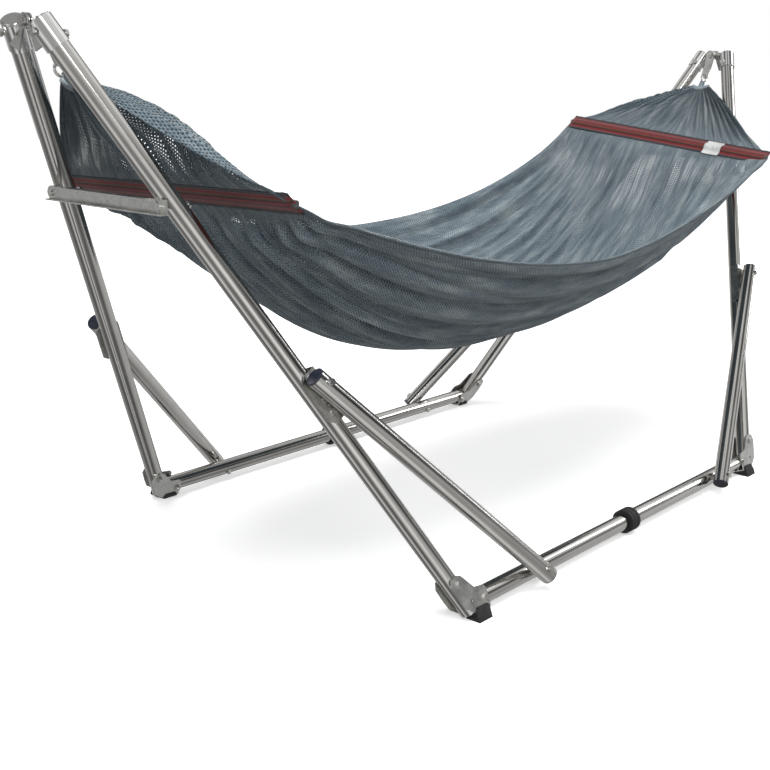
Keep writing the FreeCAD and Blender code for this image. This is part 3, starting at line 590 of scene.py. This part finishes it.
def cloth_grid():
    """The folded cloth's points, row by row, with a lip along each long edge."""
    base = np.array([cloth_row(row) for row in ROWS])
    along = np.gradient(base, axis=0)
    across = np.gradient(base, axis=1)
    normal = np.cross(along, across)
    normal /= np.linalg.norm(normal, axis=2, keepdims=True)
    lift = np.array([
        bed_folds(V_FLAT, x) if p == 0.0 else panel_folds(V_FLAT, p, x) for x, p in ROWS
    ])
    points = base + normal * lift[:, :, None]
    rows = []
    for i, row in enumerate(ROWS):
        size = lip_size(row)
        line = points[i]
        front = lip(line[0], line[0] - line[EDGE_STEP], normal[i, 0], size)
        rear = lip(line[-1], line[-1] - line[-1 - EDGE_STEP], normal[i, -1], size)
        rows.append(np.concatenate([front[::-1], line, rear]))
    return np.array(rows)


def make_cloth():
    """The mesh cloth, and its grid of points for what is sewn to it."""
    grid = cloth_grid()
    rows, columns = grid.shape[:2]
    middle = columns // 2
    steps = np.linalg.norm(np.diff(grid[:, middle], axis=0), axis=1)
    run = np.concatenate([[0], np.cumsum(steps)])
    width = np.linspace(0, CLOTH_CUT[0], columns)
    uvs = [(width[j], run[i]) for i in range(rows) for j in range(columns)]
    faces = grid_faces(rows, columns)
    cloth = finish_piece(
        "hammock_cloth", grid.reshape(-1, 3), faces, uvs, MATERIALS["mesh_fabric"],
    )
    thick = cloth.modifiers.new("cloth_thickness", "SOLIDIFY")
    thick.thickness = CLOTH_THICK
    thick.offset = 0.0
    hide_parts("bed_left", "bed_middle", "bed_right", "end_panel_left", "end_panel_right")
    return cloth, grid


cloth, cloth_points = make_cloth()


# ---------------------------------------------------------------- webbing bands and their stitching
def slope(side):
    """An end panel's directions: down its slope, out through its underside, and along the band."""
    down = np.array([(BAR.x - APEX.x) * side, 0.0, bar_z(side) - APEX.z])
    down /= np.linalg.norm(down)
    across = np.array([0.0, math.cos(BAND_ROLL[side]), math.sin(BAND_ROLL[side])])
    return down, np.array([-down[2] * side, 0.0, down[0] * side]), across


BAND_HALF_WIDE = 0.0285
BAND_HALF_THICK = 0.0085                       # over the bar inside
BAND_SEAM_THICK = 0.0016                       # half of the thickness at the sewn edges
BAND_OVER_BAR = 0.50                           # the share of the width that swells over the bar
BAND_CORNERS = 40
BAND_ROWS = 91
BAND_END_PRESSED = 0.012                       # the length at each end where the sleeve is pressed flat


def band_swell(share):
    """How far a band's face stands off its middle at a share of its half width."""
    return max(BAND_HALF_THICK * max(0.0, 1 - (share / BAND_OVER_BAR) ** 2) ** 0.5, BAND_SEAM_THICK)


def band_section():
    """A flat sleeve over a round bar: a lens with thin sewn edges."""
    points = []
    for j in range(BAND_CORNERS):
        turn = 2 * math.pi * j / BAND_CORNERS
        wide, tall = math.cos(turn), math.sin(turn)
        points.append((BAND_HALF_WIDE * wide, math.copysign(band_swell(abs(wide)), tall or 1)))
    return points


def make_band(end, side):
    """A band's sleeve, a little puckered along its edges."""
    down, out, across = slope(side)
    centre = np.array([BAR.x * side, 0, bar_z(side)])
    section = band_section()
    points, uvs = [], []
    for y in np.linspace(-BAND_HALF, BAND_HALF, BAND_ROWS):
        pucker = 0.0005 * math.sin(y * 310) + 0.0004 * math.sin(y * 173 + 1)
        pressed = float(smooth_step((abs(y) - BAND_HALF + BAND_END_PRESSED) / BAND_END_PRESSED))
        tight = 1 - 0.75 * pressed
        for a, b in section:
            edge = abs(a) / BAND_HALF_WIDE
            point = centre + down * (a + pucker * edge * math.copysign(1, a)) + out * (b * tight)
            points.append(point + across * y)
            uvs.append((0.5 + a / (2 * BAND_HALF_WIDE), y + BAND_HALF))
    faces = tube_faces(BAND_ROWS, BAND_CORNERS)
    band = finish_piece("webbing_band_" + end, points, faces, uvs, MATERIALS["webbing"])
    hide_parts("band_" + end)
    return band


STITCH_LONG = 0.0042
STITCH_GAP = 0.0020
STITCH_RADIUS = 0.00055
STITCH_SHARES = (0.0, 0.2, 0.5, 0.8, 1.0)      # where a stitch's rings of corners are along it
STITCH_CORNERS = 6
STITCH_MARGIN = 0.006                          # unstitched band at each end
STITCH_ROWS = (-0.90, -0.70, 0.70, 0.90)       # shares of the band's half width


def stitch_row(points, uvs, faces, start, way, up, side_way, length):
    """Short raised stitches in a line, each a small rounded bar."""
    pitch = STITCH_LONG + STITCH_GAP
    stitch_faces = tube_faces(len(STITCH_SHARES), STITCH_CORNERS)
    for k in range(int(length / pitch)):
        first = len(points)
        for share in STITCH_SHARES:
            arch = math.sin(math.pi * share)
            centre = start + way * (k * pitch + share * STITCH_LONG) + up * (STITCH_RADIUS * 0.9 * arch)
            size = STITCH_RADIUS * (0.55 + 0.45 * arch)
            for corner in range(STITCH_CORNERS):
                turn = 2 * math.pi / STITCH_CORNERS * corner
                points.append(centre + side_way * (size * math.cos(turn)) + up * (size * math.sin(turn)))
                uvs.append((corner / STITCH_CORNERS, share * STITCH_LONG))
        faces.extend(tuple(first + corner for corner in face) for face in stitch_faces)


def make_stitching(end, side):
    """Four rows of stitches on each face of a band."""
    down, out, way = slope(side)
    half_long = BAND_HALF - STITCH_MARGIN
    centre = np.array([BAR.x * side, 0.0, bar_z(side)]) - way * half_long
    points, uvs, faces = [], [], []
    for share in STITCH_ROWS:
        for face in (-1, 1):
            start = centre + down * (BAND_HALF_WIDE * share) + out * (face * BAND_SEAM_THICK)
            stitch_row(points, uvs, faces, start, way, out * face, down, 2 * half_long)
    return finish_piece("band_stitching_" + end, points, faces, uvs, STITCH)


ENDS = (("left", -1), ("right", 1))

for end, side in ENDS:
    make_band(end, side)
    make_stitching(end, side)


# ---------------------------------------------------------------- the loops at the rings
ring_low, ring_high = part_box("hanging_rings")
RING_RADIUS = 0.013
RING_WIRE = 0.003                              # the radius of its wire
RING = Vector((ring_high.x - RING_RADIUS - RING_WIRE, 0, (ring_low.z + ring_high.z) / 2))

STRAP_HALF_WIDE = 0.0065
STRAP_THICK = 0.0016
STRAP_GAP = 0.0003                             # between the strap and the ring's wire
STRAP_TUCK = 0.004                             # how far the strap's legs go into the gathers
STRAP_LEG_ROWS = 9
STRAP_BEND_STEPS = 12

BINDING_DEEP = 0.013                           # how far the binding covers the gathers
BINDING_HALF_THICK = 0.0052
BINDING_TOP = 0.002                            # how far it stands above the apex
BINDING_ROUND = 0.0035                         # its rounded top edge
BINDING_FACE_STEPS = 6
BINDING_ROWS = 31


def ring_way(side):
    """From the apex towards the ring's middle, and the ring wire's own direction there."""
    way = np.array([(RING.x - APEX.x) * side, 0.0, RING.z - APEX.z])
    way /= np.linalg.norm(way)
    return way, np.cross(way, [0.0, 1.0, 0.0])


def make_loop(end, side):
    """Webbing that goes up from the gathers, over the ring's wire and back down."""
    way, wire = ring_way(side)
    middle = np.array([RING.x * side, 0.0, RING.z])
    over = middle - way * RING_RADIUS
    apex = np.array([APEX.x * side, 0.0, APEX.z])
    bend = RING_WIRE + STRAP_THICK / 2 + STRAP_GAP
    leg_low = float(np.linalg.norm(over - apex)) - APEX_ARCH + STRAP_TUCK
    path = []
    for share in np.linspace(0, 1, STRAP_LEG_ROWS):
        closing = 1.0 - 0.55 * float(smooth_step(1 - 2 * share))
        path.append(over - way * (leg_low * (1 - share)) + wire * (bend * closing))
    leg = path[::-1]
    for k in range(1, STRAP_BEND_STEPS):
        turn = math.pi * k / STRAP_BEND_STEPS
        path.append(over + way * (bend * math.sin(turn)) + wire * (bend * math.cos(turn)))
    path += [2 * over - point + 2 * way * float(way @ (point - over)) for point in leg]
    path = np.array(path)
    tangent = np.gradient(path, axis=0)
    tangent /= np.linalg.norm(tangent, axis=1, keepdims=True)
    across = np.array([0.0, 1.0, 0.0])
    ups = np.cross(tangent, across)
    wide, thick = STRAP_HALF_WIDE, STRAP_THICK / 2
    face = [
        (-wide, -thick * 0.5), (-wide * 0.9, -thick), (0, -thick),
        (wide * 0.9, -thick), (wide, -thick * 0.5),
    ]
    section = face + [(-a, -b) for a, b in face]
    loop = sweep(
        "ring_loop_" + end, path, [across] * len(path), ups, section,
        MATERIALS["loop_webbing"],
    )
    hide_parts("gather_loop_" + end)
    return loop


def make_binding(end, side):
    """A folded strip sewn over the gathered top of the panel, bowed with it."""
    down, out, _ = slope(side)
    apex = np.array([APEX.x * side, 0.0, APEX.z])
    half = APEX_HALF_WIDTH + 0.003
    section = []
    for k in range(BINDING_FACE_STEPS + 1):
        share = k / BINDING_FACE_STEPS
        thick = BINDING_HALF_THICK + 0.0008 * math.sin(math.pi * k / BINDING_FACE_STEPS)
        section.append((BINDING_DEEP * (1 - share) - BINDING_TOP, thick))
    face = section[::-1]
    for k in range(1, 8):
        turn = math.pi * k / 8
        section.append((-BINDING_TOP - BINDING_ROUND * math.sin(turn), BINDING_HALF_THICK * math.cos(turn)))
    section += [(a, -b) for a, b in face]
    points, uvs = [], []
    for i in range(BINDING_ROWS):
        t = -1 + 2 * i / (BINDING_ROWS - 1)
        bow = -APEX_ARCH * (1 - t * t) / abs(down[0])
        pinch = 1 - 0.35 * t ** 8
        for a, b in section:
            rumple = 0.0004 * math.sin(31 * t + 400 * a)
            place = apex + down * (a * pinch + bow) + out * (b * pinch + rumple)
            points.append(place + np.array([0, half * t, 0]))
            uvs.append((min(max((a + 0.006) / (BINDING_DEEP + 0.006), 0), 1), half * t))
    faces = tube_faces(BINDING_ROWS, len(section))
    return finish_piece(
        "gather_binding_" + end, points, faces, uvs, MATERIALS["loop_webbing"],
    )


for end, side in ENDS:
    make_loop(end, side)
    make_binding(end, side)


# ---------------------------------------------------------------- the blank tag on the right band
TAG_PLACE = 0.165                              # from the band's middle towards the front
TAG_HALF_WIDE = 0.026
TAG_TOP = -0.024                               # from the band's middle line, down the slope
TAG_LONG = 0.056
TAG_THICK = 0.0006
TAG_OFF_BAND = 0.0012
TAG_ROWS = 15
TAG_COLUMNS = 13


def make_tag():
    """A cloth tag, sewn over the band's upper face, with its lower corners lifting a little."""
    down, out, way = slope(1)
    centre = np.array([BAR.x, 0.0, bar_z(1)]) - way * TAG_PLACE
    points, uvs = [], []
    for i in range(TAG_ROWS):
        share = i / (TAG_ROWS - 1)
        drop = TAG_TOP + TAG_LONG * share
        rise = band_swell(abs(drop) / BAND_HALF_WIDE) + TAG_OFF_BAND + 0.0030 * max(0.0, share - 0.75)
        for j in range(TAG_COLUMNS):
            across = -1 + 2 * j / (TAG_COLUMNS - 1)
            curl = 0.0014 * across ** 4 * share
            along_band = way * (TAG_HALF_WIDE * across)
            points.append(centre + along_band + down * drop - out * (rise + curl))
            uvs.append((j / (TAG_COLUMNS - 1), 0.046 * share))
    tag = finish_piece("blank_tag", points, grid_faces(TAG_ROWS, TAG_COLUMNS), uvs, TAG)
    thick = tag.modifiers.new("tag_thickness", "SOLIDIFY")
    thick.thickness = TAG_THICK
    return tag


tag = make_tag()


# ---------------------------------------------------------------- hems along the cloth's long edges
HEM_LIP_COLUMN = 3                             # the lip's point beside the cord, counted from the edge
HEM_INNER_COLUMN = 7                           # cloth a little way in from the edge
HEM_RADIUS = LIP_RADIUS * 0.62
HEM_INWARD = 0.6                               # how far the cord lies inside the lip, in its radii
HEM_CORNERS = 8


def make_hem(name, columns):
    """The cord sewn inside the folded edge, from ring to ring; columns run inwards from the lip's end."""
    line = columns[LIP_COLUMNS - HEM_LIP_COLUMN]
    inner = columns[LIP_COLUMNS + HEM_INNER_COLUMN - 1]
    tangent = np.gradient(line, axis=0)
    tangent /= np.linalg.norm(tangent, axis=1, keepdims=True)
    to_inner = inner - line
    to_inner -= tangent * (to_inner * tangent).sum(1, keepdims=True)
    to_inner /= np.linalg.norm(to_inner, axis=1, keepdims=True)
    ups = np.cross(tangent, to_inner)
    radii = np.array([HEM_RADIUS * lip_size(row) for row in ROWS])
    turns = [2 * math.pi * j / HEM_CORNERS for j in range(HEM_CORNERS)]
    section = [(math.cos(turn), math.sin(turn)) for turn in turns]
    centres = line + to_inner * (radii * HEM_INWARD)[:, None]
    sides = to_inner * radii[:, None]
    ups = ups * radii[:, None]
    return sweep(name, centres, sides, ups, section, MATERIALS["mesh_fabric"])


cloth_columns = cloth_points.swapaxes(0, 1)
hems = [make_hem("hem_cord_front", cloth_columns), make_hem("hem_cord_rear", cloth_columns[::-1])]


# ---------------------------------------------------------------- floor, light and surroundings
FLOOR_HALF = 14.0


def make_floor():
    """Plain white paper that keeps the shadows but sends no light back onto the stand."""
    mesh = bpy.data.meshes.new("floor")
    corners = [(FLOOR_HALF * x, FLOOR_HALF * y, 0) for x, y in ((-1, -1), (1, -1), (1, 1), (-1, 1))]
    mesh.from_pydata(corners, [], [(0, 1, 2, 3)])
    floor = bpy.data.objects.new("floor", mesh)
    bpy.context.scene.collection.objects.link(floor)
    material, _, shader = new_material("floor_paper")
    shader.inputs["Base Color"].default_value = (0.94, 0.94, 0.94, 1)
    shader.inputs["Roughness"].default_value = 0.42
    shader.inputs["Specular IOR Level"].default_value = 0.35
    shader.inputs["Emission Color"].default_value = (1, 1, 1, 1)
    shader.inputs["Emission Strength"].default_value = 0.42
    mesh.materials.append(material)
    floor.visible_diffuse = False
    floor.visible_glossy = False


def make_world():
    """A white studio: plain to the camera, with dark flags between its soft boxes in reflections."""
    world = bpy.data.worlds.new("studio")
    bpy.context.scene.world = world
    g = Graph(world)
    way = g.add("ShaderNodeSeparateXYZ")
    g.link(g.add("ShaderNodeTexCoord").outputs["Generated"], way.inputs[0])
    turn = g.math("ARCTAN2", way.outputs["Y"], way.outputs["X"])
    around = g.math("FRACT", g.math("ADD", g.math("MULTIPLY", turn, 1 / (2 * math.pi)), 1.0))
    flags = g.ramp(around, [
        (0.00, 0.36), (0.05, 0.30), (0.08, 0.01), (0.13, 0.01), (0.16, 0.50), (0.24, 0.30), (0.34, 0.02),
        (0.40, 0.02), (0.44, 0.48), (0.50, 0.95), (0.53, 0.36), (0.585, 0.01), (0.635, 0.01), (0.66, 0.55),
        (0.71, 1.0), (0.74, 0.34), (0.82, 0.02), (0.88, 0.02), (0.92, 0.40),
    ])
    height = g.math("ADD", g.math("MULTIPLY", way.outputs["Z"], 0.5), 0.5)
    bands_up = g.ramp(height, [
        (0.0, 0.12), (0.30, 0.24), (0.47, 0.55), (0.53, 0.25), (0.60, 0.02), (0.66, 0.02), (0.71, 0.45),
        (0.80, 0.95), (0.84, 0.55), (0.90, 0.06), (0.95, 0.06), (1.0, 0.55),
    ])
    seen = g.add("ShaderNodeBackground", in_Color=(1, 1, 1, 1), in_Strength=1.0)
    studio = g.add("ShaderNodeBackground", in_Strength=1.75)
    g.link(g.mix(0.5, flags, bands_up), studio.inputs["Color"])
    pick = g.add("ShaderNodeMixShader")
    g.link(g.add("ShaderNodeLightPath").outputs["Is Camera Ray"], pick.inputs[0])
    g.link(studio.outputs[0], pick.inputs[1])
    g.link(seen.outputs[0], pick.inputs[2])
    g.link(pick.outputs[0], g.add("ShaderNodeOutputWorld").inputs[0])


def make_light(name, kind, place, target, power, size):
    """A sun, sized by its angle and not mirrored in the tubes, or a soft box, sized by its sides."""
    light = bpy.data.lights.new(name, kind)
    light.energy = power
    if kind == "SUN":
        light.angle = size
    else:
        light.shape = "RECTANGLE"
        light.size, light.size_y = size
    lamp = bpy.data.objects.new(name, light)
    lamp.visible_glossy = kind != "SUN"
    lamp.location = place
    lamp.rotation_mode = "QUATERNION"
    lamp.rotation_quaternion = (Vector(target) - Vector(place)).to_track_quat("-Z", "Y")
    bpy.context.scene.collection.objects.link(lamp)


make_floor()
make_world()
make_light("overhead", "SUN", (-0.5, -0.3, 4.0), (0, 0, 0), 3.0, math.radians(45))
make_light("key_box", "AREA", (-2.6, -3.2, 2.6), (0, 0, 0.7), 40, (1.6, 1.2))
make_light("side_strip", "AREA", (3.4, -1.6, 1.8), (0, 0, 0.6), 25, (0.5, 2.0))
bpy.context.scene.view_settings.view_transform = "Standard"
